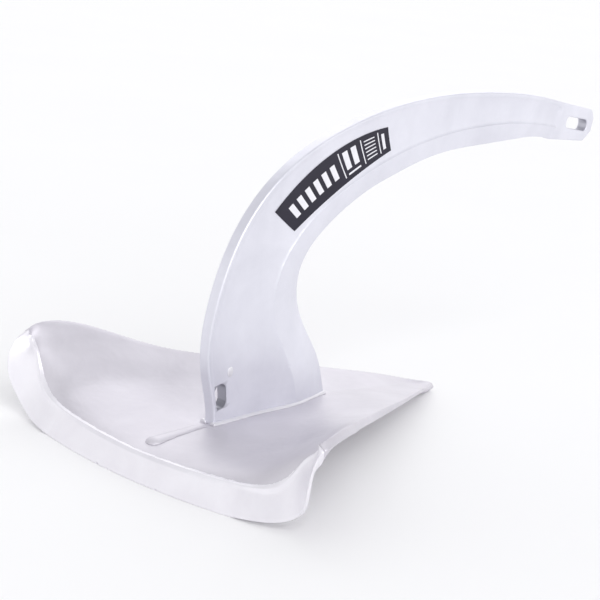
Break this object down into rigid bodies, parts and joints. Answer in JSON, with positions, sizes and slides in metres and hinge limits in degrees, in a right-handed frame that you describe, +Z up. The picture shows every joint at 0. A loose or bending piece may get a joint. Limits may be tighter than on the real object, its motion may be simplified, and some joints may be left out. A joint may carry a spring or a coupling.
{
  "type": "fluke anchor",
  "caption": "Scoop fluke anchor with a pointed concave palm, upturned wings, a downturned heel rim and a curved shank with a slotted shackle end.",
  "frame": {"origin": "on the floor under the middle of the anchor's length, in its mid-plane; the anchor stands on its heel rim and its toe", "axes": "+X from the heel towards the shackle end and the toe, +Y to port, +Z up"},
  "size_m": [0.9287, 0.4984, 0.4292],
  "materials": {
    "galvanised_palm": "hot-dip galvanised, matte, soft grey mottling",
    "galvanised_rim": "hot-dip galvanised, bright and smooth",
    "galvanised_shank": "hot-dip galvanised, satin",
    "zinc_bead": "galvanised weld bead, satin, slightly rippled",
    "label_film": "satin printed film with pale plain marks"
  },
  "bodies": {
    "root": {"palm": "galvanised_palm", "heel_rim_center": "galvanised_rim", "heel_rim_port": "galvanised_rim", "heel_rim_starboard": "galvanised_rim", "crease_bead_center": "zinc_bead", "crease_bead_port": "zinc_bead", "crease_bead_starboard": "zinc_bead", "spine_rib": "galvanised_palm", "shank_back_strip": "galvanised_shank", "shank_web": "galvanised_shank", "shank_throat": "galvanised_shank", "shackle_end": "galvanised_shank", "root_weld_port": "zinc_bead", "root_weld_starboard": "zinc_bead", "label_port": "label_film", "label_starboard": "label_film"}
  },
  "joints": []
}
